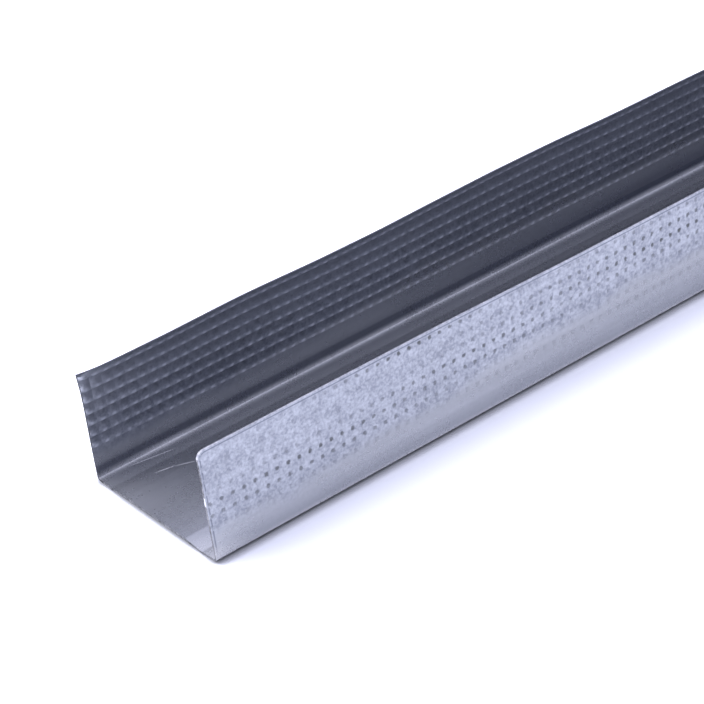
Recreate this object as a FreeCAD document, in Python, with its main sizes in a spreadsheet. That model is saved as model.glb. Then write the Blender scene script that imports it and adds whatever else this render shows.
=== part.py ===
"""Drywall track: a U-channel roll-formed from one strip of galvanised sheet steel.

X runs along the track, Y across it and Z up. The web lies on the floor on two shallow
grooves, and the two flanges stand up. Sizes are in millimetres and angles in degrees.
"""

import FreeCAD, Part
import math
import os

import Sketcher

# Driving sizes, one named value each

SIZES = {
    "track_length": 3000.0,
    "web_width": 50.0,
    "flange_height": 30.5,
    "sheet_thickness": 0.55,
    "bend_inner_radius": 0.4,
    "web_strip_width": 6.0,
    "web_strip_angle": 5.0,
    "web_slope_width": 6.5,
    "web_rise": 0.55,
    "flange_corner_radius": 2.2,
}

doc = FreeCAD.newDocument("drywall_track")
sheet = doc.addObject("Spreadsheet::Sheet", "Sizes")
for row, (name, value) in enumerate(SIZES.items(), start=1):
    sheet.set(f"A{row}", name)
    sheet.set(f"B{row}", str(value))
    sheet.setAlias(f"B{row}", name)
doc.recompute()

body = doc.addObject("PartDesign::Body", "drywall_track")
body.Label = "drywall_track"


def origin_plane(role):
    """The body's own base plane with this role."""
    return next(f for f in body.Origin.OriginFeatures if f.Role == role)


def vector(y, z):
    """A point of the section, across and up."""
    return FreeCAD.Vector(y, z, 0)


# Section: one strip of even thickness, bent up twice. A shallow groove stiffens the web
# beside each bend: the web slopes down from its level middle to the groove, and a narrow
# strip rises from the groove to the bend. The two grooves are what touches the floor.

section = body.newObject("Sketcher::SketchObject", "section")
section.AttachmentSupport = [(origin_plane("YZ_Plane"), "")]
section.MapMode = "FlatFace"

ORIGIN = (-1, 1)
HORIZONTAL_AXIS = -1
FIRST, SECOND, CENTRE = 1, 2, 3


def line(start, end):
    """Adds a line to the section and returns its number."""
    return section.addGeometry(Part.LineSegment(start, end), False)


def arc(centre, radius, start, end):
    """Adds an anticlockwise arc, angles in radians, and returns its number."""
    circle = Part.Circle(centre, FreeCAD.Vector(0, 0, 1), radius)
    return section.addGeometry(Part.ArcOfCircle(circle, start, end), False)


def rule(kind, *places):
    """Adds a constraint without a size."""
    return section.addConstraint(Sketcher.Constraint(kind, *places))


def sized(kind, places, value, expression):
    """Adds a constraint whose size comes from the sheet."""
    number = section.addConstraint(Sketcher.Constraint(kind, *places, value))
    section.setExpression(f"Constraints[{number}]", expression)
    return number


half_web = SIZES["web_width"] / 2
height = SIZES["flange_height"]
thick = SIZES["sheet_thickness"]
inner = SIZES["bend_inner_radius"]
outer = inner + thick
tilt = math.radians(SIZES["web_strip_angle"])
rise = SIZES["web_rise"]
slope = math.atan2(rise, SIZES["web_slope_width"])
groove = half_web - SIZES["web_strip_width"]
level = groove - SIZES["web_slope_width"]
level_above = level + thick * math.tan(slope / 2)
lift = thick / (1 + math.cos(slope + tilt))
groove_above_y = groove + lift * (math.sin(slope) - math.sin(tilt))
groove_above_z = lift * (math.cos(slope) + math.cos(tilt))

web_under = line(vector(-level, rise), vector(level, rise))
web_above = line(vector(-level_above, rise + thick), vector(level_above, rise + thick))


def add_side(side, web_end):
    """Draws one groove, bend and flange: side is 1 for +Y and -1 for -Y."""
    centre_y = half_web - outer
    reach = centre_y - groove
    centre_z = reach * math.tan(tilt) + outer / math.cos(tilt)
    centre = vector(side * centre_y, centre_z)
    foot_y = centre_y + outer * math.sin(tilt)
    foot_z = centre_z - outer * math.cos(tilt)
    top_y = centre_y + inner * math.sin(tilt)
    top_z = centre_z - inner * math.cos(tilt)
    if side > 0:
        turn = (-math.pi / 2 + tilt, 0.0)
        foot, head = FIRST, SECOND
    else:
        turn = (math.pi, 3 * math.pi / 2 - tilt)
        foot, head = SECOND, FIRST

    slope_under = line(vector(side * level, rise), vector(side * groove, 0))
    under = line(vector(side * groove, 0), vector(side * foot_y, foot_z))
    bend_out = arc(centre, outer, *turn)
    face_out = line(vector(side * half_web, centre_z), vector(side * half_web, height))
    rim = line(vector(side * half_web, height), vector(side * (half_web - thick), height))
    face_in = line(
        vector(side * (half_web - thick), height),
        vector(side * (half_web - thick), centre_z),
    )
    bend_in = arc(centre, inner, *turn)
    groove_above = vector(side * groove_above_y, groove_above_z)
    above = line(vector(side * top_y, top_z), groove_above)
    slope_above = line(groove_above, vector(side * level_above, rise + thick))

    rule("Coincident", web_under, web_end, slope_under, FIRST)
    rule("Coincident", slope_under, SECOND, under, FIRST)
    rule("Tangent", under, SECOND, bend_out, foot)
    rule("Tangent", bend_out, head, face_out, FIRST)
    rule("Coincident", face_out, SECOND, rim, FIRST)
    rule("Coincident", rim, SECOND, face_in, FIRST)
    rule("Tangent", face_in, SECOND, bend_in, head)
    rule("Tangent", bend_in, foot, above, FIRST)
    rule("Coincident", above, SECOND, slope_above, FIRST)
    rule("Coincident", slope_above, SECOND, web_above, web_end)
    rule("Coincident", bend_out, CENTRE, bend_in, CENTRE)
    rule("Vertical", face_out)
    rule("Vertical", face_in)
    rule("Horizontal", rim)
    rule("Parallel", under, above)
    rule("Parallel", slope_under, slope_above)
    rule("PointOnObject", under, FIRST, HORIZONTAL_AXIS)

    sized("Radius", (bend_in,), inner, "Sizes.bend_inner_radius")
    sized("DistanceY", (*ORIGIN, face_out, SECOND), height, "Sizes.flange_height")
    if side > 0:
        across = (*ORIGIN, face_out, SECOND)
        through = (rim, SECOND, rim, FIRST)
        to_groove = (*ORIGIN, under, FIRST)
        down_slope = (slope_under, FIRST, slope_under, SECOND)
        turned, turned_from = tilt, "Sizes.web_strip_angle"
    else:
        across = (face_out, SECOND, *ORIGIN)
        through = (rim, FIRST, rim, SECOND)
        to_groove = (under, FIRST, *ORIGIN)
        down_slope = (slope_under, SECOND, slope_under, FIRST)
        turned, turned_from = math.pi - tilt, "180 - Sizes.web_strip_angle"
    sized("DistanceX", across, half_web, "Sizes.web_width / 2")
    sized("DistanceX", through, thick, "Sizes.sheet_thickness")
    from_middle = "Sizes.web_width / 2 - Sizes.web_strip_width"
    sized("DistanceX", to_groove, groove, from_middle)
    sized("DistanceX", down_slope, groove - level, "Sizes.web_slope_width")
    sized("Distance", (slope_above, FIRST, slope_under), thick, "Sizes.sheet_thickness")
    sized("Angle", (under,), turned, turned_from)


add_side(1, SECOND)
add_side(-1, FIRST)
rule("Horizontal", web_under)
rule("Horizontal", web_above)
above_floor = "Sizes.web_rise + Sizes.sheet_thickness"
sized("DistanceY", (*ORIGIN, web_under, FIRST), rise, "Sizes.web_rise")
sized("DistanceY", (*ORIGIN, web_above, FIRST), rise + thick, above_floor)
doc.recompute()

# Length: the strip runs out of the rolls as one long channel, sheared off at both ends

channel = body.newObject("PartDesign::Pad", "channel")
channel.Profile = section
channel.SideType = "Symmetric"
channel.setExpression("Length", "Sizes.track_length")
section.Visibility = False
doc.recompute()


# End corners: the -Y flange has its two upper corners rounded off, the +Y flange not

SAME_PLACE = 0.01


def flange_corner(edge):
    """Whether an edge crosses the rim of the -Y flange at an end of the track."""
    box = edge.BoundBox
    at_end = abs(abs(box.Center.x) - SIZES["track_length"] / 2) < SAME_PLACE
    at_rim = abs(box.Center.z - height) < SAME_PLACE
    runs_across = box.XLength < SAME_PLACE and box.ZLength < SAME_PLACE
    return at_end and at_rim and runs_across and box.Center.y < 0


corners = [
    f"Edge{number}"
    for number, edge in enumerate(channel.Shape.Edges, start=1)
    if flange_corner(edge)
]
rounded = body.newObject("PartDesign::Fillet", "rounded_corners")
rounded.Base = (channel, corners)
rounded.setExpression("Radius", "Sizes.flange_corner_radius")
doc.recompute()

# Check, then write the track as one solid

for item in doc.Objects:
    if "Invalid" in item.State or "Error" in item.State:
        raise RuntimeError(f"{item.Name} did not build: {item.State}")
shape = body.Shape
if not section.FullyConstrained:
    raise RuntimeError("the section has sizes left open")
if shape.isNull() or not shape.isValid() or len(shape.Solids) != 1 or len(corners) != 2:
    raise RuntimeError("the track is not one valid solid with two rounded corners")

os.makedirs("parts", exist_ok=True)
shape.exportStep("parts/drywall_track.step")
box = shape.BoundBox
print("drywall_track", [round(v, 3) for v in (box.XLength, box.YLength, box.ZLength)])
print("lowest point", round(box.ZMin, 4), "volume in cubic mm", round(shape.Volume, 1))
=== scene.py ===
# %% [markdown]
# # A galvanised drywall track
# A drywall track is a U-channel rolled from one strip of galvanised sheet steel. It is
# screwed down through its web, and the studs of a partition stand between its flanges.
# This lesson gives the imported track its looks: the knurl that is rolled into both
# flanges, the zinc with its spangle, the sheared edges, and a plain studio.

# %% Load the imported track
import math
import random

import bpy
from mathutils import Euler, Matrix, Vector


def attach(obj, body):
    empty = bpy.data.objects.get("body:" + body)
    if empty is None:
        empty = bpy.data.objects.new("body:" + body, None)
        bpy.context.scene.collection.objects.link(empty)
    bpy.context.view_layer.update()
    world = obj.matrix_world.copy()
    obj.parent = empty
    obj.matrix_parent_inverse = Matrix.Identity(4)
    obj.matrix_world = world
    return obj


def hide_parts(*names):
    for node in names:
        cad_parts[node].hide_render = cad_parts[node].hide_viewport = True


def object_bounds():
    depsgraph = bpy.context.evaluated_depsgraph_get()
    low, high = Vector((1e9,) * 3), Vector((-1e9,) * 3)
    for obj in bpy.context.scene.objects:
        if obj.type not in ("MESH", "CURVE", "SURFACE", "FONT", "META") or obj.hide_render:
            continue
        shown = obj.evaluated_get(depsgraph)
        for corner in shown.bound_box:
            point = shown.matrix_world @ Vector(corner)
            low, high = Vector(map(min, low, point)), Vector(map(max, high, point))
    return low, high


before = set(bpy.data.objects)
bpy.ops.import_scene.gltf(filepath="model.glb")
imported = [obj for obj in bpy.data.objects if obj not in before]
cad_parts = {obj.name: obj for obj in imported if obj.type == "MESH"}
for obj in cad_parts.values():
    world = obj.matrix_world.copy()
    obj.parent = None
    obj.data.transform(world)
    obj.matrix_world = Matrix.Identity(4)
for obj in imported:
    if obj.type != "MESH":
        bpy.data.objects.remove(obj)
cad_low, cad_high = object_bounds()
MM = 0.001
NODE = "drywall_track"
print("track", [round(v / MM, 2) for v in cad_high - cad_low], "mm")

# %% [markdown]
# ## Sizes of the sheet
# The CAD box gives the length, width and height. The rest repeats the section: a sheet
# of even thickness, sharp bends, and a shallow groove in the web beside each bend. The
# web slopes down from its level middle to the groove, and a narrow strip rises from the
# groove to the bend. The flanges are split from the web just above the bends, on flat
# sheet, because each knurled flange alone is a large mesh.

# %% Sizes of the sheet
END = cad_high.x
HALF_WIDTH = cad_high.y
HEIGHT = cad_high.z
SHEET = 0.55 * MM
BEND_OUTER = 0.4 * MM + SHEET
STRIP_WIDTH = 6.0 * MM
STRIP_ANGLE = math.radians(5.0)
SLOPE_WIDTH = 6.5 * MM
WEB_RISE = 0.55 * MM
CORNER_RADIUS = 2.2 * MM
SPLIT_HEIGHT = 3.0 * MM
NEAR = 0.01 * MM
print("section", round(2 * HALF_WIDTH / MM, 2), "by", round(HEIGHT / MM, 2), "mm")

# %% [markdown]
# ## Working by selection
# Each operator acts on what is selected. These helpers do what a hand does with the
# mouse: open one object for editing, and pick its faces, edges or points by their place.

# %% Helpers for editing


def select_only(piece):
    """Makes one piece the only selected object."""
    bpy.ops.object.select_all(action="DESELECT")
    piece.select_set(True)
    bpy.context.view_layer.objects.active = piece


def reopen():
    """Opens the mesh of the active piece."""
    bpy.ops.object.mode_set(mode="EDIT")


def close():
    """Leaves edit mode."""
    bpy.ops.object.mode_set(mode="OBJECT")


def open_for_editing(piece):
    """Makes one piece the only selected object and opens its mesh."""
    select_only(piece)
    reopen()


def apply_place(piece):
    """Moves a piece's turn, scale and place into its mesh."""
    select_only(piece)
    bpy.ops.object.transform_apply(location=True, rotation=True, scale=True)


def triangles(piece):
    """How many triangles a piece has."""
    piece.data.calc_loop_triangles()
    return len(piece.data.loop_triangles)


# %% Helpers for picking


def start_picking(kind):
    """Deselects all of the open mesh and closes it, so that code can pick in it."""
    bpy.ops.mesh.select_mode(type=kind)
    bpy.ops.mesh.select_all(action="DESELECT")
    close()


def pick_faces(piece, test):
    """Selects the faces of the open piece whose middle and normal pass a test."""
    start_picking("FACE")
    for face in piece.data.polygons:
        face.select = test(face.center, face.normal)
    reopen()


def pick_edges(piece, test, level_only=False):
    """Selects the edges of the open piece whose two ends pass a test."""
    start_picking("EDGE")
    points = piece.data.vertices
    for edge in piece.data.edges:
        first, second = (points[i].co for i in edge.vertices)
        is_level = abs(first.z - second.z) < NEAR
        edge.select = test(first) and test(second) and (is_level or not level_only)
    reopen()


def pick_points(piece, test):
    """Selects the points of the open piece that pass a test."""
    start_picking("VERT")
    for point in piece.data.vertices:
        point.select = test(point.co)
    reopen()


# %% [markdown]
# ## The finishes
# Five finishes cover the track: the zinc of its faces, the same zinc where the knurl's
# teeth pressed it in and where it stands out on the inside, the rim where the strip was
# slit, and the dull ends where the track was sheared to length. Slots are made first, so
# that each face gets its finish as it is modelled. Their nodes come later.

# %% Name the finishes
zinc = bpy.data.materials.new("zinc_face")
pit_zinc = bpy.data.materials.new("knurl_pit")
mound_zinc = bpy.data.materials.new("knurl_mound")
slit_steel = bpy.data.materials.new("slit_rim")
sheared_steel = bpy.data.materials.new("sheared_end")
FINISHES = (zinc, pit_zinc, mound_zinc, slit_steel, sheared_steel)
FACE_SLOT, PIT_SLOT, MOUND_SLOT, RIM_SLOT, END_SLOT = range(len(FINISHES))


def give_finishes(piece):
    """Gives a piece its slots, the face's zinc first."""
    for finish in FINISHES:
        piece.data.materials.append(finish)


def finish_selected(piece, slot):
    """Puts a finish on the selected faces of the open piece."""
    piece.active_material_index = slot
    bpy.ops.object.material_slot_assign()


print("finishes", [finish.name for finish in FINISHES])

# %% [markdown]
# ## The web with its bends
# On the real track the web is the strip's middle, bent up along both sides. A box would
# have no bends, and a curve with a bevel would round every corner alike. Sheet metal is
# easiest as a surface first: a plane for the level middle, and its long edges extruded
# down to the groove, out to the corner and up. Bevels round the corners to the bend's
# radius and take the hardness off the groove's creases, and Solidify gives the sheet.

# %% Sizes of the web
corner_height = STRIP_WIDTH * math.tan(STRIP_ANGLE)
bend_turn = math.radians(90) - STRIP_ANGLE
bend_reach = BEND_OUTER * math.tan(bend_turn / 2)
groove = HALF_WIDTH - STRIP_WIDTH
level = groove - SLOPE_WIDTH
OUT_AND_UP = (
    (SLOPE_WIDTH, -WEB_RISE),
    (STRIP_WIDTH, corner_height),
    (0, SPLIT_HEIGHT - corner_height),
)
BEND_STEPS = 10
CREASE = 0.4 * MM
CREASE_STEPS = 2
print("grooves", round(groove / MM, 2), "mm from the middle, level part to", round(level / MM, 2))

# %% Model the web
bpy.ops.object.select_all(action="DESELECT")
bpy.ops.mesh.primitive_plane_add(size=2)
web = bpy.context.object
web.name = "track_web"
web.scale = (END, level, 1)
web.location = (0, 0, WEB_RISE)
apply_place(web)
open_for_editing(web)
for side in (-1, 1):
    pick_edges(web, lambda p: abs(p.y * side - level) < NEAR)
    for across, up in OUT_AND_UP:
        bpy.ops.mesh.extrude_region_move(
            TRANSFORM_OT_translate={"value": (0, side * across, up)}
        )
pick_edges(web, lambda p: abs(p.z - corner_height) < NEAR)
bpy.ops.mesh.bevel(offset=bend_reach, segments=BEND_STEPS)
for crease in (-groove, -level, level, groove):
    pick_edges(web, lambda p: abs(p.y - crease) < NEAR)
    bpy.ops.mesh.bevel(offset=CREASE, segments=CREASE_STEPS)
close()
sheet_web = web.modifiers.new("sheet", "SOLIDIFY")
sheet_web.thickness = SHEET
sheet_web.offset = 1
sheet_web.use_even_offset = True
bpy.ops.object.modifier_apply(modifier="sheet")
print("web", triangles(web), "triangles", [round(v / MM, 3) for v in web.dimensions])

# %% Finish the web's faces
FACING = 0.9
SMOOTH_ANGLE = math.radians(30)
FACE_WEIGHT = 100

give_finishes(web)
open_for_editing(web)
bpy.ops.mesh.select_all(action="SELECT")
bpy.ops.mesh.normals_make_consistent(inside=False)
pick_faces(web, lambda middle, normal: abs(normal.x) > FACING)
finish_selected(web, END_SLOT)
close()
bpy.ops.object.shade_smooth_by_angle(angle=SMOOTH_ANGLE)
even_web = web.modifiers.new("even", "WEIGHTED_NORMAL")
even_web.weight = FACE_WEIGHT
even_web.keep_sharp = True
bpy.ops.object.modifier_apply(modifier="even")
print("web's ends", sum(face.material_index == END_SLOT for face in web.data.polygons), "faces")

# %% [markdown]
# ## The knurl
# Toothed rolls press rows of small pits into the outer face of each flange, and every pit
# stands out as a mound on the inner face. The knurl grips the screws. Thousands of dents
# could be a bump in the material, but they catch the light at the flange's edge too, so
# they are real: a grid with one cell for each dent. A dent takes a dozen triangles a side.
# The back flange's rows sit half a pitch higher, so that its rim cuts the top row in half.

# %% Sizes of the knurl
PITCH = 3.2 * MM
ROWS = 7
FIRST_COLUMN = 1.15 * MM
grid_start = -END + FIRST_COLUMN - PITCH / 2
COLUMNS = math.ceil((END - grid_start) / PITCH)
row_top = {-1: HEIGHT, 1: HEIGHT + PITCH / 2}
knurl_foot = {side: top - ROWS * PITCH for side, top in row_top.items()}


def rows_down(side, place):
    """How many rows down a flange's knurl a place is."""
    return (row_top[side] - place.z) / PITCH


feet = [round(v / MM, 2) for v in knurl_foot.values()]
print("knurl", COLUMNS, "columns, feet at", feet, "mm")

# %% [markdown]
# ## Bows in the flanges
# A flange of thin sheet is never quite straight: its free edge bows in and out by half a
# millimetre. A wave by formula would look made by a machine. So the free edge is pushed
# sideways a stretch at a time, with proportional editing that fades out at the flange's
# foot. The near stretches are listed one by one, and the rest follow from a seeded draw.

# %% Choose the bows
# A bow has its start and stop from the near end and its sideways shift, in mm
FRONT_BOWS = [(0, 70, 0.36), (116, 156, -0.42)]
BACK_BOWS = [(12, 22, -0.6), (76, 90, -0.75), (134, 150, 0.6), (182, 190, -0.2)]
BOW_LENGTHS = (10, 34)
BOW_SHIFTS = (-0.6, 0.6)
BOW_STEP = 62
BOW_STEP_SHARES = (0.8, 1.3)
rng = random.Random(7)


def all_bows(first):
    """The bows placed by eye, and then one every so often to the far end."""
    bows = list(first)
    place = first[-1][1] + BOW_STEP / 2
    while place < 2 * END / MM - BOW_STEP:
        length = rng.uniform(*BOW_LENGTHS)
        bows.append((place, place + length, rng.uniform(*BOW_SHIFTS)))
        place += BOW_STEP * rng.uniform(*BOW_STEP_SHARES)
    return bows


bows_of = {-1: all_bows(FRONT_BOWS), 1: all_bows(BACK_BOWS)}
print("bows", {side: len(bows) for side, bows in bows_of.items()})

# %% Bow a skin
BOW_FADE = HEIGHT - SPLIT_HEIGHT
TIP_FLARE = 0.9 * MM
TIP_REACH = 9 * MM


def push(skin, test, shift, fade, falloff):
    """Pushes the points that pass a test, and their neighbours less and less."""
    pick_points(skin, test)
    bpy.ops.transform.translate(
        value=(0, shift, 0),
        use_proportional_edit=True,
        proportional_edit_falloff=falloff,
        proportional_size=fade,
    )


def bow_skin(skin, side):
    """Bows the free edge of a skin, and flares the near upper tip of the back flange."""
    for start, stop, shift in bows_of[side]:
        low = -END + start * MM
        high = -END + stop * MM
        push(
            skin,
            lambda p: p.z > HEIGHT - NEAR and low < p.x < high,
            shift * MM,
            BOW_FADE,
            "SMOOTH",
        )
    if side > 0:
        push(
            skin,
            lambda p: p.z > HEIGHT - NEAR and p.x < -END + PITCH / 4,
            TIP_FLARE,
            TIP_REACH,
            "SHARP",
        )


print("bows fade out over", round(BOW_FADE / MM, 1), "mm")

# %% [markdown]
# ## The outer skin and its pits
# A skin is one face of the sheet: a grid that stands on edge, one cell for each dent, with a
# tall row at the foot. Its top row ends at the rim. On the outer face each cell is inset by
# itself, and the small square in its middle is poked in to a point, as a tooth leaves it.

# %% Stand a plain skin on edge


def flange_skin(name, side, y, outward):
    """A grid standing at y whose faces look along outward (1 or -1 in Y)."""
    bpy.ops.object.select_all(action="DESELECT")
    bpy.ops.mesh.primitive_grid_add(
        x_subdivisions=COLUMNS,
        y_subdivisions=ROWS + 1,
        size=1,
        rotation=(math.radians(-90 * outward), 0, 0),
    )
    skin = bpy.context.object
    skin.name = name
    height = (ROWS + 1) * PITCH
    skin.scale = (COLUMNS * PITCH, height, 1)
    skin.location = (grid_start + COLUMNS * PITCH / 2, y, row_top[side] - height / 2)
    apply_place(skin)
    give_finishes(skin)
    open_for_editing(skin)
    pick_points(skin, lambda p: p.z < knurl_foot[side] - PITCH / 2)
    bpy.ops.transform.translate(value=(0, 0, SPLIT_HEIGHT + height - row_top[side]))
    pick_points(skin, lambda p: p.z > row_top[side] - NEAR)
    bpy.ops.transform.translate(value=(0, 0, HEIGHT - row_top[side]))
    bow_skin(skin, side)
    return skin


# %% Model the outer skins
FLANGES = {-1: "front_flange", 1: "back_flange"}
PIT_WIDTH = 1.3 * MM
PIT_DEPTH = 0.2 * MM


def is_dented(side, place):
    """Whether a place is on a whole row of the knurl. The back one's top row is cut in half."""
    is_whole = side < 0 or rows_down(side, place) > 1
    return knurl_foot[side] < place.z < HEIGHT and is_whole


def pit_skin(name, side):
    """The outer face of a flange: small sharp pits."""
    skin = flange_skin(name, side, side * HALF_WIDTH, side)
    pick_faces(skin, lambda middle, normal: is_dented(side, middle))
    bpy.ops.mesh.inset(thickness=(PITCH - PIT_WIDTH) / 2, use_individual=True)
    finish_selected(skin, PIT_SLOT)
    bpy.ops.mesh.region_to_loop()
    bpy.ops.mesh.mark_sharp()
    bpy.ops.mesh.select_mode(type="FACE")
    bpy.ops.mesh.select_all(action="DESELECT")
    skin.active_material_index = PIT_SLOT
    bpy.ops.object.material_slot_select()
    bpy.ops.mesh.poke(offset=-PIT_DEPTH)
    close()
    return skin


outer_skins = {side: pit_skin(name, side) for side, name in FLANGES.items()}
print("outer skins", [triangles(skin) for skin in outer_skins.values()], "triangles")

# %% [markdown]
# ## The inner skin and its mounds
# On the inside the mounds of a row run together into a low ridge above a sharp valley. So
# each row is cut along its ridge and the ridge is raised, each cell is split down its
# middle, and the points there are raised again, the lower ones most: that is the mound's
# brow. Cutting each face along its shorter diagonal keeps the mounds round in the light.

# %% Places on the inner skin
# A face is on a ridge if its middle is within a little less than half the ridge's width
RIDGE_WIDTH = 1.4 * MM
RIDGE_REACH = 0.45 * RIDGE_WIDTH / PITCH
HALFWAY_SLACK = 0.1


def ridge_edges(side):
    """The heights at which the ridges' tops begin and end."""
    middles = [row_top[side] - (row + 0.5) * PITCH for row in range(ROWS)]
    halves = (-RIDGE_WIDTH / 2, RIDGE_WIDTH / 2)
    edges = [middle + half for middle in middles for half in halves]
    return [edge for edge in edges if edge < HEIGHT]


def in_a_valley(side, place):
    """Whether a point lies on a line between two rows."""
    rows = rows_down(side, place)
    return abs(rows - round(rows)) < NEAR / PITCH


def on_a_ridge(side, place):
    """Whether a face of the inner skin is the top of a row's ridge."""
    to_middle = abs(rows_down(side, place) % 1 - 0.5)
    return place.z > knurl_foot[side] and to_middle < RIDGE_REACH


def on_a_mound(side, place):
    """Whether a point of a ridge is halfway along its cell, where the dent is."""
    columns = (place.x - grid_start) / PITCH
    halfway = abs(columns % 1 - 0.5) < HALFWAY_SLACK
    return halfway and place.z > knurl_foot[side] and not in_a_valley(side, place)


def on_a_brow(side, place):
    """Whether a point is on the lower half of a mound."""
    return on_a_mound(side, place) and rows_down(side, place) % 1 > 0.5


print("ridges", {side: len(ridge_edges(side)) for side in FLANGES}, "edges")

# %% Model the inner skins
RIDGE_HEIGHT = 0.05 * MM
MOUND_TOP = 0.14 * MM
MOUND_BROW = 0.28 * MM
MERGE = NEAR / 100


def raise_inwards(side, height):
    """Raises what is selected on the inner skin of a flange."""
    bpy.ops.transform.translate(value=(0, -side * height, 0))


def mound_skin(name, side):
    """The inner face of a flange: a ridge along each row, with a mound for each dent."""
    skin = flange_skin(name, side, side * (HALF_WIDTH - SHEET), -side)
    bpy.ops.mesh.select_all(action="SELECT")
    finish_selected(skin, MOUND_SLOT)
    pick_edges(skin, lambda p: p.z < HEIGHT - NEAR and in_a_valley(side, p))
    bpy.ops.mesh.mark_sharp()
    for edge in ridge_edges(side):
        bpy.ops.mesh.select_all(action="SELECT")
        bpy.ops.mesh.bisect(plane_co=(0, 0, edge), plane_no=(0, 0, 1), threshold=MERGE)
    pick_faces(skin, lambda middle, normal: on_a_ridge(side, middle))
    raise_inwards(side, RIDGE_HEIGHT)
    pick_edges(
        skin,
        lambda p: knurl_foot[side] - NEAR < p.z < HEIGHT - NEAR,
        level_only=True,
    )
    bpy.ops.mesh.subdivide(number_cuts=1)
    pick_points(skin, lambda p: on_a_mound(side, p))
    raise_inwards(side, MOUND_TOP)
    pick_points(skin, lambda p: on_a_brow(side, p))
    raise_inwards(side, MOUND_BROW)
    bpy.ops.mesh.select_all(action="SELECT")
    bpy.ops.mesh.quads_convert_to_tris(quad_method="SHORTEST_DIAGONAL")
    close()
    return skin


inner_skins = {side: mound_skin(name + "_inside", side) for side, name in FLANGES.items()}
print("inner skins", [triangles(skin) for skin in inner_skins.values()], "triangles")

# %% [markdown]
# ## Two skins make a flange
# The outer and inner skin are joined, and a bridge between their open edges makes the
# sheet's rim. The shear that cut the real track to length went straight through the
# knurl, so the flange is bisected at both ends, with the cut filled. The front flange has
# its two upper corners rounded off: a few more cuts along the arc do that.

# %% Cuts through a flange
CUT_STEPS = 6


def cut(place, normal):
    """Cuts the open piece straight through, drops what is outside and fills the cut."""
    bpy.ops.mesh.select_all(action="SELECT")
    bpy.ops.mesh.bisect(
        plane_co=place,
        plane_no=normal,
        use_fill=True,
        clear_outer=True,
        threshold=MERGE,
    )


def round_corner(end):
    """Rounds the upper corner of the open flange at one end, in flat cuts."""
    centre = Vector((end * (END - CORNER_RADIUS), 0, HEIGHT - CORNER_RADIUS))
    for step_number in range(1, CUT_STEPS):
        angle = math.radians(90) * step_number / CUT_STEPS
        normal = Vector((end * math.cos(angle), 0, math.sin(angle)))
        cut(centre + normal * CORNER_RADIUS, normal)


print("corners of", round(CORNER_RADIUS / MM, 2), "mm in", CUT_STEPS - 1, "cuts each")

# %% Join two skins into a flange
UPWARDS = 0.1
SIDEWAYS = 0.5
SQUARE = 0.99


def on_the_foot(middle, normal):
    """Whether a face lies on the web's bend, under the flange."""
    return normal.z < -FACING


def on_the_rim(middle, normal):
    """Whether a face is part of the slit rim, or of a rounded corner."""
    is_above = middle.z > SPLIT_HEIGHT + NEAR
    return normal.z > UPWARDS and abs(normal.y) < SIDEWAYS and is_above


def on_the_end(middle, normal):
    """Whether a face is part of a sheared end."""
    return abs(normal.x) > SQUARE


EDGE_FINISHES = ((FACE_SLOT, on_the_foot), (RIM_SLOT, on_the_rim), (END_SLOT, on_the_end))


def flange(side):
    """One knurled flange: side is -1 for the front and 1 for the back."""
    piece = outer_skins[side]
    select_only(piece)
    inner_skins[side].select_set(True)
    bpy.ops.object.join()
    open_for_editing(piece)
    bpy.ops.mesh.select_mode(type="EDGE")
    bpy.ops.mesh.select_all(action="DESELECT")
    bpy.ops.mesh.select_non_manifold()
    bpy.ops.mesh.bridge_edge_loops()
    for end in (-1, 1):
        cut((end * END, 0, 0), (end, 0, 0))
        if side < 0:
            round_corner(end)
    bpy.ops.mesh.select_all(action="SELECT")
    bpy.ops.mesh.normals_make_consistent(inside=False)
    for slot, test in EDGE_FINISHES:
        pick_faces(piece, test)
        finish_selected(piece, slot)
        bpy.ops.mesh.region_to_loop()
        bpy.ops.mesh.mark_sharp()
    close()
    bpy.ops.object.shade_smooth()
    return piece


front = flange(-1)
back = flange(1)
print("front flange", triangles(front), "triangles, back flange", triangles(back))

# %% [markdown]
# ## Building with nodes
# A finish is a tree of nodes. These helpers add a node and link it in one line, so that
# the finishes below read like sums: numbers and places go in, and shares and colours from
# 0 to 1 come out.

# %% Helpers for nodes


def fresh_tree(finish):
    """Empties a material's or world's nodes and returns its tree."""
    finish.use_nodes = True
    finish.node_tree.nodes.clear()
    return finish.node_tree


def add(tree, kind, inputs=None, **settings):
    """Adds a node: settings are its own, inputs hold values or other nodes' outputs."""
    made = tree.nodes.new(kind)
    for name, value in settings.items():
        setattr(made, name, value)
    for socket, value in (inputs or {}).items():
        if isinstance(value, bpy.types.NodeSocket):
            tree.links.new(value, made.inputs[socket])
        else:
            made.inputs[socket].default_value = value
    return made


def math_of(tree, operation, first, second):
    """A sum, difference or the like of two numbers."""
    return add(tree, "ShaderNodeMath", {0: first, 1: second}, operation=operation).outputs[0]


def product(tree, first, *others):
    """Two or more numbers multiplied."""
    for other in others:
        first = math_of(tree, "MULTIPLY", first, other)
    return first


def vector_of(tree, operation, first, second=(0, 0, 0)):
    """A vector made from one or two others."""
    inputs = {0: first, 1: second}
    return add(tree, "ShaderNodeVectorMath", inputs, operation=operation).outputs[0]


def length_of(tree, way):
    """How long a vector is."""
    return add(tree, "ShaderNodeVectorMath", {0: way}, operation="LENGTH").outputs["Value"]


def part_of(tree, vector, axis):
    """A vector's share along X, Y or Z."""
    return add(tree, "ShaderNodeSeparateXYZ", {0: vector}).outputs[axis]


# %% Helpers for shares and colours


def spread(tree, value, low, high):
    """Turns a number from 0 to 1 into one from low to high."""
    made = add(tree, "ShaderNodeMapRange", {"Value": value, "To Min": low, "To Max": high})
    return made.outputs["Result"]


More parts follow.
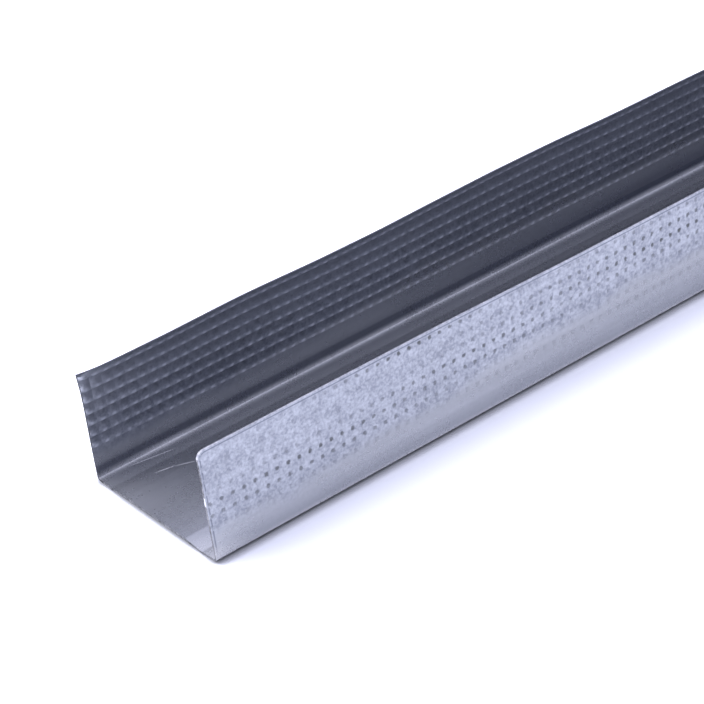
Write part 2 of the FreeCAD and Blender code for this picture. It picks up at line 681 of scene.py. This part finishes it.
def step(tree, value, start, stop):
    """A soft step: 0 up to start and 1 from stop on. It may also run downwards."""
    made = add(
        tree,
        "ShaderNodeMapRange",
        {"Value": value, "From Min": start, "From Max": stop},
        interpolation_type="SMOOTHSTEP",
    )
    return made.outputs["Result"]


def between(tree, share, first, second):
    """A number between two others by a share from 0 to 1."""
    return add(tree, "ShaderNodeMix", {"Factor": share, 2: first, 3: second}).outputs[0]


def blend_colours(tree, share, first, second):
    """Mixes two colours by a share from 0 to 1."""
    made = add(tree, "ShaderNodeMix", {"Factor": share}, data_type="RGBA")
    for socket, value in ((6, first), (7, second)):
        if isinstance(value, bpy.types.NodeSocket):
            tree.links.new(value, made.inputs[socket])
        else:
            made.inputs[socket].default_value = (*value, 1)
    return made.outputs[2]


def end_in_metal(tree, inputs):
    """Ends a finish with a metal's shader."""
    shader = add(tree, "ShaderNodeBsdfPrincipled", inputs)
    add(tree, "ShaderNodeOutputMaterial", {"Surface": shader.outputs["BSDF"]})


# %% [markdown]
# ## Galvanised zinc
# Hot-dip zinc freezes into flat crystals, the spangle, a millimetre or two across on this
# thin sheet. Each one reflects a little more or less than the next, and the rolls leave
# faint streaks along the strip. A picture of zinc would repeat along three metres, so the
# finish is worked out from the place on the track: cells for the crystals, fine noise for
# the grain, and noise drawn out along the length for the streaks.

# %% Patterns that the finishes share
SPANGLE = 1.5 * MM
GRAIN = 0.8 * MM
CLOUDS_PER_METRE = 55.0
BLOTCHES_PER_METRE = 300.0
STREAKS_PER_METRE = (9.0, 420.0, 420.0)
MIDDLE_TONE = 0.5


def noise(tree, place, scale, detail):
    """Noise over the track, a number from 0 to 1."""
    inputs = {"Vector": place, "Scale": scale, "Detail": detail}
    return add(tree, "ShaderNodeTexNoise", inputs).outputs["Fac"]


def stretched(tree, place, per_metre):
    """A place in units of its own along each axis, to draw a pattern out."""
    return add(tree, "ShaderNodeMapping", {"Vector": place, "Scale": per_metre}).outputs["Vector"]


def zinc_patterns(tree):
    """Spangle, grain, blotch, cloud and streak, each a number from 0 to 1 over the track."""
    place = add(tree, "ShaderNodeTexCoord").outputs["Object"]
    cells = add(tree, "ShaderNodeTexVoronoi", {"Vector": place, "Scale": 1 / SPANGLE})
    crystal = add(tree, "ShaderNodeSeparateColor", {"Color": cells.outputs["Color"]})
    return {
        "place": place,
        "crystal": crystal.outputs["Red"],
        "grain": noise(tree, place, 1 / GRAIN, detail=4.0),
        "cloud": noise(tree, place, CLOUDS_PER_METRE, detail=4.0),
        "blotch": noise(tree, place, BLOTCHES_PER_METRE, detail=3.0),
        "streak": noise(tree, stretched(tree, place, STREAKS_PER_METRE), 1.0, detail=3.0),
    }


def off_middle(tree, pattern, weight):
    """How far a pattern is from its middle, times a weight."""
    return product(tree, math_of(tree, "SUBTRACT", pattern, MIDDLE_TONE), weight)


def tone(tree, patterns, weights):
    """One number near the middle from several patterns, each with its weight."""
    total = MIDDLE_TONE
    for name, weight in weights.items():
        total = math_of(tree, "ADD", total, off_middle(tree, patterns[name], weight))
    return total


print("spangle of", round(SPANGLE / MM, 2), "mm and grain of", round(GRAIN / MM, 2), "mm")

# %% Colours of the zinc
# The knurl's rolls have worked the zinc down to a foot that is ragged and rises inwards
DARK_ZINC = (0.27, 0.285, 0.325)
LIGHT_ZINC = (0.48, 0.5, 0.545)
DARK_SMOOTH = (0.33, 0.34, 0.36)
LIGHT_SMOOTH = (0.48, 0.49, 0.515)
KNURLED_WEIGHTS = {"crystal": 0.45, "grain": 2.2, "blotch": 0.8, "streak": 0.8}
SMOOTH_WEIGHTS = {"streak": 0.8, "cloud": 0.4, "grain": 0.4}
WORKED_RISE = (-END + 10 * MM, -END + 110 * MM)
WORKED_FEET = (5.5 * MM, 11 * MM)
WORKED_RAGGED = 10 * MM
WORKED_FADE = 5 * MM


def worked(tree, patterns):
    """How far the knurl's rolls have worked the zinc: 1 on the knurl and 0 below it."""
    inward = step(tree, part_of(tree, patterns["place"], "X"), *WORKED_RISE)
    foot = spread(tree, inward, *WORKED_FEET)
    ragged = off_middle(tree, patterns["cloud"], WORKED_RAGGED)
    up = math_of(tree, "ADD", part_of(tree, patterns["place"], "Z"), ragged)
    return step(tree, math_of(tree, "SUBTRACT", up, foot), 0.0, WORKED_FADE)


def zinc_colour(tree, patterns, zone, mottle, lift):
    """Mottled where the zinc was knurled, smooth and streaky elsewhere."""
    weights = {name: weight * mottle for name, weight in KNURLED_WEIGHTS.items()}
    mottled = math_of(tree, "ADD", tone(tree, patterns, weights), lift)
    knurled = blend_colours(tree, mottled, DARK_ZINC, LIGHT_ZINC)
    plain = blend_colours(tree, tone(tree, patterns, SMOOTH_WEIGHTS), DARK_SMOOTH, LIGHT_SMOOTH)
    return blend_colours(tree, zone, plain, knurled)


print("worked zinc down to", [round(v / MM, 1) for v in WORKED_FEET], "mm")

# %% [markdown]
# ## Painted light and scratches
# The zinc is painted pale, and less of a metal, where light falls in at the open near end,
# as painted highlights along the inside of the bends and on the strip beside them, and in a
# few scratches, which are real wear. Painted masks would be pictures, so each place is a long
# round spot, given by its middle and its reach, and the bends are a band measured from the
# section.

# %% Places of painted light, and scratches
# Places and reaches are in mm from the middle of the near end, then a strength or a turn
# Pale zinc for painted light and highlights, and for real scratches and the burr
SHEEN_AND_WEAR_ZINC = (0.78, 0.78, 0.79)
# Places of painted light: at the open near end, and highlights along the bends near it
PAINTED_LIGHT_PLACES = [
    ((0, 10, 1), (42, 52, 2.2), 0.5),
    ((0, -24, 1), (14, 16, 4), 1.0),
    ((21, 24.2, 1.2), (26, 1.4, 1.4), 1.2),
]
SCRATCHES = [
    ((13.5, 15.4, 1.1), (3.6, 0.3, 3), -14),
    ((18.3, 13.4, 1.1), (3.4, 0.26, 3), -28),
    ((14.5, 22.2, 1.1), (8, 0.26, 3), -9),
]
MARK_EDGE = (0.0, 0.4)


def spot(tree, place, middle, reach, turn=0.0):
    """1 in the middle of a long round spot, falling to 0 at its reach."""
    local = add(
        tree,
        "ShaderNodeMapping",
        {
            "Vector": place,
            "Location": Vector((-END, 0, 0)) + Vector(middle) * MM,
            "Rotation": (0, 0, math.radians(turn)),
            "Scale": [v * MM for v in reach],
        },
        vector_type="TEXTURE",
    ).outputs["Vector"]
    made = add(tree, "ShaderNodeTexGradient", {"Vector": local}, gradient_type="SPHERICAL")
    return made.outputs["Fac"]


def mark(tree, place, middle, reach, turn=0.0):
    """A spot with an even middle and a soft edge."""
    return step(tree, spot(tree, place, middle, reach, turn), *MARK_EDGE)


print("rubbed places", len(PAINTED_LIGHT_PLACES), "and scratches", len(SCRATCHES))

# %% Painted highlights on the bends
BEND_PLACE = (0, HALF_WIDTH - 0.8 * MM, 1.15 * MM)
BEND_SHEEN = (1.3 * MM, 0.2 * MM)
BEND_WEIGHTS = {"cloud": 1.6, "grain": 1.2}
BEND_SHARES = (0.5, 1.0)
STRIP_START = (level, groove - 1.5 * MM)
STRIP_TOP = (1.7 * MM, 1.3 * MM)
BESIDE_BEND = (HALF_WIDTH - 3.2 * MM, HALF_WIDTH - 0.8 * MM)
STRIP_SHARES = (0.28, 0.5)


def along_bend(tree, patterns):
    """1 on the inside of the two bends, a painted highlight, and less on the strip beside them.
    """
    both = vector_of(tree, "ABSOLUTE", patterns["place"])
    way = vector_of(tree, "SUBTRACT", both, BEND_PLACE)
    distance = length_of(tree, vector_of(tree, "MULTIPLY", way, (0, 1, 1)))
    uneven = spread(tree, tone(tree, patterns, BEND_WEIGHTS), *BEND_SHARES)
    bend = product(tree, step(tree, distance, *BEND_SHEEN), uneven)
    across = part_of(tree, both, "Y")
    on_strip = step(tree, across, *STRIP_START)
    on_top = step(tree, part_of(tree, both, "Z"), *STRIP_TOP)
    share = spread(tree, step(tree, across, *BESIDE_BEND), *STRIP_SHARES)
    return math_of(tree, "MAXIMUM", bend, product(tree, on_strip, share, on_top))


def painted_light_and_scratches(tree, patterns):
    """How far the zinc is painted pale: painted light at the near end and on the bends, real
    scratches.
    """
    share = along_bend(tree, patterns)
    place = patterns["place"]
    for middle, reach, strength in PAINTED_LIGHT_PLACES:
        painted_light_share = product(tree, spot(tree, place, middle, reach), strength)
        share = math_of(tree, "MAXIMUM", share, painted_light_share)
    for middle, reach, turn in SCRATCHES:
        share = math_of(tree, "MAXIMUM", share, mark(tree, place, middle, reach, turn))
    return share


print("rubbed bends at", [round(v / MM, 2) for v in BEND_PLACE[1:]], "mm across and up")

# %% [markdown]
# ## Painted shade and highlights
# A dark band above each bend, wider and darker farther along, is painted shade for the dark
# that the flange's foot mirrors, and the outside of the bend is painted dark for the contact
# shadow. A fine dark line below the rim and round its corner is painted shade below the burr.
# On the inside the lower brow of each mound is a painted highlight. All of these follow the
# section, so they are bands of height and width and need no drawing.

# %% Bands beside the bends
# Painted shade: the lower outside of each bend is painted dark for the contact shadow under the
# track's edge
UNDER_BEND_SHADE = (0.1, 0.1, 0.12)
UNDER_BEND_SHADE_ACROSS = (HALF_WIDTH - 0.55 * MM, HALF_WIDTH - 0.4 * MM)
UNDER_BEND_SHADE_UP = (0.9 * MM, 0.6 * MM)
# Painted shade: a dark band above each bend, wider and darker farther along, for the dark that
# the flange's foot mirrors; this colour also paints the line below the rim
PAINTED_SHADE_ZINC = (0.16, 0.17, 0.21)
SHADE_BAND_ACROSS = (HALF_WIDTH - 0.2 * MM, HALF_WIDTH - 0.4 * MM)
SHADE_BAND_START = (2.1 * MM, 2.9 * MM)
SHADE_BAND_GROWS = (-END + 60 * MM, -END + 200 * MM)
BAND_STOP = (4.9 * MM, 3.9 * MM)
BAND_SHARES = (0.62, 0.9)
UPPER_SHADE_STOP = (10 * MM, 5 * MM)
UPPER_SHADE_SHARES = (0.0, 0.7)


def under_bend(tree, place):
    """1 on the lower outside of the two bends, painted dark for the contact shadow there, and 0
    elsewhere.
    """
    both = vector_of(tree, "ABSOLUTE", place)
    outside = step(tree, part_of(tree, both, "Y"), *UNDER_BEND_SHADE_ACROSS)
    return product(tree, outside, step(tree, part_of(tree, both, "Z"), *UNDER_BEND_SHADE_UP))


def above_bend(tree, place):
    """How far the inside of a flange's foot is painted with shade: a band with fainter shade
    above it.
    """
    both = vector_of(tree, "ABSOLUTE", place)
    up = part_of(tree, both, "Z")
    inside = step(tree, part_of(tree, both, "Y"), *SHADE_BAND_ACROSS)
    grown = step(tree, part_of(tree, place, "X"), *SHADE_BAND_GROWS)
    band = product(tree, step(tree, up, *BAND_STOP), spread(tree, grown, *BAND_SHARES))
    upper_shade = product(tree, step(tree, up, *UPPER_SHADE_STOP), spread(tree, grown, *UPPER_SHADE_SHARES))
    share = math_of(tree, "MAXIMUM", band, upper_shade)
    return product(tree, inside, step(tree, up, *SHADE_BAND_START), share)


shade_band_to = [round(stop[0] / MM, 1) for stop in (BAND_STOP, UPPER_SHADE_STOP)]
print("burnished band and smear up to", shade_band_to, "mm")

# %% The line below the rim
# Painted shade: a fine dark line below the rim, where the burr shades the face
RIM_CORNER = (END - CORNER_RADIUS, HALF_WIDTH - CORNER_RADIUS, HEIGHT - CORNER_RADIUS)
LINE_START = (0.3 * MM, 0.5 * MM)
LINE_STOP = (0.85 * MM, 0.65 * MM)
LINE_SHARE = 0.8


def rim_line(tree, place):
    """A fine line of painted shade just below the rim and round its corner."""
    way = vector_of(tree, "SUBTRACT", vector_of(tree, "ABSOLUTE", place), RIM_CORNER)
    beyond = vector_of(tree, "MAXIMUM", way)
    outside = math_of(tree, "GREATER_THAN", part_of(tree, beyond, "Y"), 0.0)
    from_centre = length_of(tree, vector_of(tree, "MULTIPLY", beyond, (1, 0, 1)))
    below = math_of(tree, "SUBTRACT", CORNER_RADIUS, from_centre)
    line = product(tree, step(tree, below, *LINE_START), step(tree, below, *LINE_STOP))
    return product(tree, outside, line, LINE_SHARE)


print("line", [round(v / MM, 2) for v in (LINE_START[0], LINE_STOP[0])], "mm below the rim")

# %% Spots on the knurl
# A spot in a cell has its place across and up, from 0 to 1, and its reaches are in pitches
# Painted highlight: the lower brow of each mound is painted light
BROW_HIGHLIGHT = (0.72, 0.74, 0.8)
BROW_SPOT = (0.5, 0.15)
BROW_REACH = (0.28, 0.08)
BROW_WEIGHTS = {"blotch": 2.5}
BROW_SHARES = (0.1, 0.8)


def from_spot_in_cell(tree, place, across, up):
    """How far a place is from one spot in its cell of the knurl, in pitches."""
    on_back = math_of(tree, "GREATER_THAN", part_of(tree, place, "Y"), 0.0)
    half_row = spread(tree, on_back, 0.0, 0.5)
    cell = add(
        tree,
        "ShaderNodeMapping",
        {
            "Vector": place,
            "Location": (-grid_start / PITCH, 0, -HEIGHT / PITCH),
            "Scale": (1 / PITCH, 0, 1 / PITCH),
        },
    ).outputs["Vector"]
    shift = add(tree, "ShaderNodeCombineXYZ", {"Z": half_row}).outputs[0]
    inside = vector_of(tree, "FRACTION", vector_of(tree, "ADD", cell, shift))
    return length_of(tree, vector_of(tree, "SUBTRACT", inside, (across, 0, up)))


def painted_brow_highlight(tree, patterns):
    """How far the lower brow of each mound is painted as a highlight, on some more than on
    others.
    """
    place = patterns["place"]
    brow = step(tree, from_spot_in_cell(tree, place, *BROW_SPOT), *BROW_REACH)
    on_knurl = math_of(tree, "GREATER_THAN", part_of(tree, place, "Z"), knurl_foot[1])
    uneven = spread(tree, tone(tree, patterns, BROW_WEIGHTS), *BROW_SHARES)
    return product(tree, brow, on_knurl, uneven)


print("rubbed brows reach", round(BROW_REACH[0] * PITCH / MM, 2), "mm")

# %% [markdown]
# ## Zinc on the open faces
# The two finishes of the open faces put all of this together, and differ in how mottled,
# light and dull they are on the knurl; on the inside the light is painted, darker at the
# knurl's foot and lighter at its rim. Bare zinc is a metal. Where it is painted pale, for
# scratches and for painted light, it counts as less of a metal.

# %% Make the zinc
SMOOTH_DULL = (0.22, 0.34)
DULL_WEIGHTS = {"crystal": 0.2, "grain": 0.3, "cloud": 0.8}
RELIEF_WEIGHTS = {"grain": 0.5, "streak": 0.5}
RELIEF_STRENGTH = 0.12
RELIEF_HEIGHT = 0.03 * MM
METAL_SHARES = (1.0, 0.3)


def marked_colour(tree, patterns, zone, pale, mottle, lift, outside):
    """The zinc's colour with its marks. Lift shifts it from the knurl's foot to its rim: painted
    shade and light.
    """
    place = patterns["place"]
    height = step(tree, part_of(tree, place, "Z"), knurl_foot[-1], HEIGHT)
    colour = zinc_colour(tree, patterns, zone, mottle, between(tree, height, *lift))
    if outside:
        colour = blend_colours(tree, rim_line(tree, place), colour, PAINTED_SHADE_ZINC)
    else:
        colour = blend_colours(tree, painted_brow_highlight(tree, patterns), colour, BROW_HIGHLIGHT)
    colour = blend_colours(tree, pale, colour, SHEEN_AND_WEAR_ZINC)
    colour = blend_colours(tree, above_bend(tree, place), colour, PAINTED_SHADE_ZINC)
    return blend_colours(tree, under_bend(tree, place), colour, UNDER_BEND_SHADE)


def make_zinc(finish, mottle, lift, knurl_dull, outside):
    """The zinc of the open faces: its mottle, its lift, and how dull it is on the knurl."""
    tree = fresh_tree(finish)
    patterns = zinc_patterns(tree)
    zone = worked(tree, patterns)
    pale = painted_light_and_scratches(tree, patterns)
    dull = tone(tree, patterns, DULL_WEIGHTS)
    smooth_dull = spread(tree, dull, *SMOOTH_DULL)
    relief = {
        "Height": tone(tree, patterns, RELIEF_WEIGHTS),
        "Strength": RELIEF_STRENGTH,
        "Distance": RELIEF_HEIGHT,
    }
    end_in_metal(
        tree,
        {
            "Base Color": marked_colour(tree, patterns, zone, pale, mottle, lift, outside),
            "Metallic": spread(tree, pale, *METAL_SHARES),
            "Roughness": between(tree, zone, smooth_dull, spread(tree, dull, *knurl_dull)),
            "Normal": add(tree, "ShaderNodeBump", relief).outputs["Normal"],
        },
    )


make_zinc(zinc, mottle=1.0, lift=(0.0, 0.0), knurl_dull=(0.36, 0.52), outside=True)
# On the inside the lift paints shade at the knurl's foot and light towards its rim
make_zinc(mound_zinc, mottle=0.8, lift=(-0.3, 0.65), knurl_dull=(0.3, 0.42), outside=False)
print("zinc face", len(zinc.node_tree.nodes), "nodes, mounds", len(mound_zinc.node_tree.nodes))

# %% [markdown]
# ## Dark pits
# The middle of each pit is darker, and more so in some stretches than in others. Dark pits
# all alike would look printed. So the dark is a ragged dot in the middle of each pit, and its
# strength comes from long patches of noise and from a few stretches listed one by one.

# %% Zinc in the pits
# A stretch has its middle and reach in mm from the middle of the near end
DARK_PIT_CORE = (0.1, 0.105, 0.105)
DARK_STRETCHES_OF_PITS = [
    ((30, -25, 15.0), (66, 9, 5.6)),
    ((150, -25, 23.1), (95, 9, 8.5)),
    ((80, -25, 18.2), (48, 9, 5.0)),
    ((63, -25, 29.0), (34, 9, 2.4)),
]
PATCHES_PER_METRE = (9.0, 60.0, 130.0)
PATCH_EDGE = (0.5, 0.75)
PATCH_SHARE = 0.6
PIT_SPOT = (0.5, 0.5)
DARK_PIT_CORE_REACH = (0.24, 0.09)
DARK_PIT_CORE_RAGGED = 0.25
PIT_DULL = (0.4, 0.6)


def pit_core_darkness(tree, patterns):
    """How far the middle of each pit is darkened."""
    place = patterns["place"]
    patch = noise(tree, stretched(tree, place, PATCHES_PER_METRE), 1.0, detail=2.0)
    strength = product(tree, step(tree, patch, *PATCH_EDGE), PATCH_SHARE)
    for middle, reach in DARK_STRETCHES_OF_PITS:
        strength = math_of(tree, "MAXIMUM", strength, spot(tree, place, middle, reach))
    ragged = off_middle(tree, patterns["grain"], DARK_PIT_CORE_RAGGED)
    distance = math_of(tree, "ADD", from_spot_in_cell(tree, place, *PIT_SPOT), ragged)
    return product(tree, step(tree, distance, *DARK_PIT_CORE_REACH), strength)


def make_pit(finish):
    """The worked zinc of the pits, with a dark core in each."""
    tree = fresh_tree(finish)
    patterns = zinc_patterns(tree)
    colour = zinc_colour(tree, patterns, worked(tree, patterns), 1.0, 0.0)
    end_in_metal(
        tree,
        {
            "Base Color": blend_colours(tree, pit_core_darkness(tree, patterns), colour, DARK_PIT_CORE),
            "Metallic": 1.0,
            "Roughness": spread(tree, patterns["grain"], *PIT_DULL),
        },
    )


make_pit(pit_zinc)
print("knurl pit", len(pit_zinc.node_tree.nodes), "nodes")

# %% [markdown]
# ## Cut edges
# The strip's rims were slit before it was rolled, and the ends were sheared after, so bare
# steel shows there, lighter and darker in short scores; the near-black of the ends is painted
# shade on the thin end faces. The back flange's rim is dark. A small bright burr sits on the
# front flange's near end, where the shear let go.

# %% Slit rims and sheared ends
BRIGHT_RIM = (0.78, 0.78, 0.8)
GREY_RIM = (0.42, 0.43, 0.46)
DARK_BACK_RIM = (0.13, 0.135, 0.155)
LIGHT_END = (0.36, 0.36, 0.37)
# Painted shade: the near-black of the sheared ends stands for the shade on the thin end faces
PAINTED_SHADE_END = (0.03, 0.03, 0.035)
BURR = ((0, -24.7, 17), (2, 2, 1.5))
SCORE_WEIGHTS = {"grain": 2.4, "blotch": 1.5}
BACK_START = (HALF_WIDTH - 3 * MM, HALF_WIDTH - 2 * MM)
CUT_DULL = (0.4, 0.65)


def make_cut_steel(finish, dark, light, back):
    """Cut steel between a dark and a light colour, with one of its own on the back flange."""
    tree = fresh_tree(finish)
    patterns = zinc_patterns(tree)
    place = patterns["place"]
    scored = blend_colours(tree, tone(tree, patterns, SCORE_WEIGHTS), dark, light)
    on_back = step(tree, part_of(tree, place, "Y"), *BACK_START)
    colour = blend_colours(tree, on_back, scored, back)
    end_in_metal(
        tree,
        {
            "Base Color": blend_colours(tree, mark(tree, place, *BURR), colour, SHEEN_AND_WEAR_ZINC),
            "Metallic": 1.0,
            "Roughness": spread(tree, patterns["grain"], *CUT_DULL),
        },
    )


make_cut_steel(slit_steel, GREY_RIM, BRIGHT_RIM, DARK_BACK_RIM)
make_cut_steel(sheared_steel, PAINTED_SHADE_END, LIGHT_END, PAINTED_SHADE_END)
print("cut steel", len(slit_steel.node_tree.nodes), "nodes each")

# %% [markdown]
# ## Put the pieces on the track
# The three pieces stand in for the plain CAD solid. They ride on its one body, and sit
# where it sits.

# %% Ride and replace
PIECES = (web, front, back)
for piece in PIECES:
    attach(piece, "root")
    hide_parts(NODE)
print("pieces", [piece.name for piece in PIECES], sum(triangles(p) for p in PIECES), "triangles")

# %% [markdown]
# ## The studio
# The track lies on a plain white floor. The light comes from above, from behind and from
# the left, and the dome is dark on the camera's side. So the shadow falls softly forward,
# the outside of the front flange mirrors the pale floor, and the inside of the back one
# stays dark. The floor's paper is lifted to plain white for the eye and for mirrors, but
# not close under the track's edge, where the eye looks for a shadow.

# %% Floor
FLOOR_HALF = 30.0
PAPER = (0.7, 0.7, 0.7)
WHITE_PAPER = (1.64, 1.64, 1.64)
CONTACT = 3.0 * MM
CONTACT_SAMPLES = 8
OPEN_FLOOR = (0.6, 1.0)
UNBOUNCED = 0.5


def make_floor_finish(finish):
    """White paper, lifted to plain white for the eye and for what mirrors it."""
    tree = fresh_tree(finish)
    seen = add(tree, "ShaderNodeLightPath").outputs
    reach = {"Distance": CONTACT}
    around = add(tree, "ShaderNodeAmbientOcclusion", reach, samples=CONTACT_SAMPLES)
    is_open = step(tree, around.outputs["AO"], *OPEN_FLOOR)
    lifted = product(tree, seen["Is Camera Ray"], is_open)
    lifted = math_of(tree, "MAXIMUM", lifted, seen["Is Glossy Ray"])
    lifted = math_of(tree, "MAXIMUM", lifted, seen["Is Transmission Ray"])
    straight = math_of(tree, "LESS_THAN", seen["Diffuse Depth"], UNBOUNCED)
    colour = blend_colours(tree, product(tree, lifted, straight), PAPER, WHITE_PAPER)
    paper = add(tree, "ShaderNodeBsdfDiffuse", {"Color": colour})
    add(tree, "ShaderNodeOutputMaterial", {"Surface": paper.outputs[0]})


bpy.ops.object.select_all(action="DESELECT")
bpy.ops.mesh.primitive_plane_add(size=2 * FLOOR_HALF)
floor = bpy.context.object
floor.name = "studio_floor"
floor_paper = bpy.data.materials.new("floor_paper")
make_floor_finish(floor_paper)
floor.data.materials.append(floor_paper)
print("floor", 2 * FLOOR_HALF, "m across")

# %% Dome
LIT_SIDE = (0.69, 0.71, 0.95)
DARK_SIDE = (0.035, 0.04, 0.06)
ZENITH = (1.26, 1.3, 1.62)
TOWARDS_LIGHT = (-0.6, 0.8, 0)
SIDE_EDGE = (-0.5, 0.4)
ZENITH_EDGE = (0.35, 1.15)

studio = bpy.data.worlds.new("studio")
bpy.context.scene.world = studio
sky = fresh_tree(studio)
ray = add(sky, "ShaderNodeTexCoord").outputs["Generated"]
facing = add(sky, "ShaderNodeVectorMath", {0: ray, 1: TOWARDS_LIGHT}, operation="DOT_PRODUCT")
lit = step(sky, facing.outputs["Value"], *SIDE_EDGE)
horizon = blend_colours(sky, lit, DARK_SIDE, LIT_SIDE)
overhead = step(sky, part_of(sky, ray, "Z"), *ZENITH_EDGE)
dome_colour = blend_colours(sky, overhead, horizon, ZENITH)
dome = add(sky, "ShaderNodeBackground", {"Color": dome_colour, "Strength": 1.0})
add(sky, "ShaderNodeOutputWorld", {"Surface": dome.outputs[0]})
print("dome", len(sky.nodes), "nodes")

# %% Broad light
KEY_FROM = Vector((-0.4, 0.42, 0.82))
KEY_SPREAD = math.radians(40)
KEY_STRENGTH = 0.9

bpy.ops.object.light_add(type="SUN", rotation=KEY_FROM.to_track_quat("Z", "Y").to_euler())
key = bpy.context.object
key.name = "broad_light"
key.data.angle = KEY_SPREAD
key.data.energy = KEY_STRENGTH
print("light from", [round(v, 2) for v in key.matrix_world.to_3x3().col[2]])

# %% [markdown]
# ## The camera
# A camera can be aimed by eye, but the track's straight edges and near corners fix it
# better. Its turn, its lens and its place, measured from the near corner on the floor, were
# solved from them. It leans to one side a little, as a hand holds it.

# %% Camera
AZIMUTH, ELEVATION, ROLL = (math.radians(v) for v in (-34.855, 31.025, -7.698))
EYE_FROM_CORNER = Vector((-213.837, -372.078, 308.569)) * MM
LENS = 117.16
SENSOR = 36
CLIP_START = 10 * MM

near_corner = Vector((-END, -HALF_WIDTH, 0))
upright = Euler((math.radians(90) - ELEVATION, 0, AZIMUTH)).to_matrix()
tilted = upright @ Matrix.Rotation(ROLL, 3, "Z")
bpy.ops.object.camera_add(location=near_corner + EYE_FROM_CORNER, rotation=tilted.to_euler())
camera = bpy.context.object
camera.data.lens = LENS
camera.data.sensor_width = SENSOR
camera.data.clip_start = CLIP_START
bpy.context.scene.camera = camera
bpy.context.scene.view_settings.view_transform = "Standard"
print("camera at", [round(v, 4) for v in camera.location])
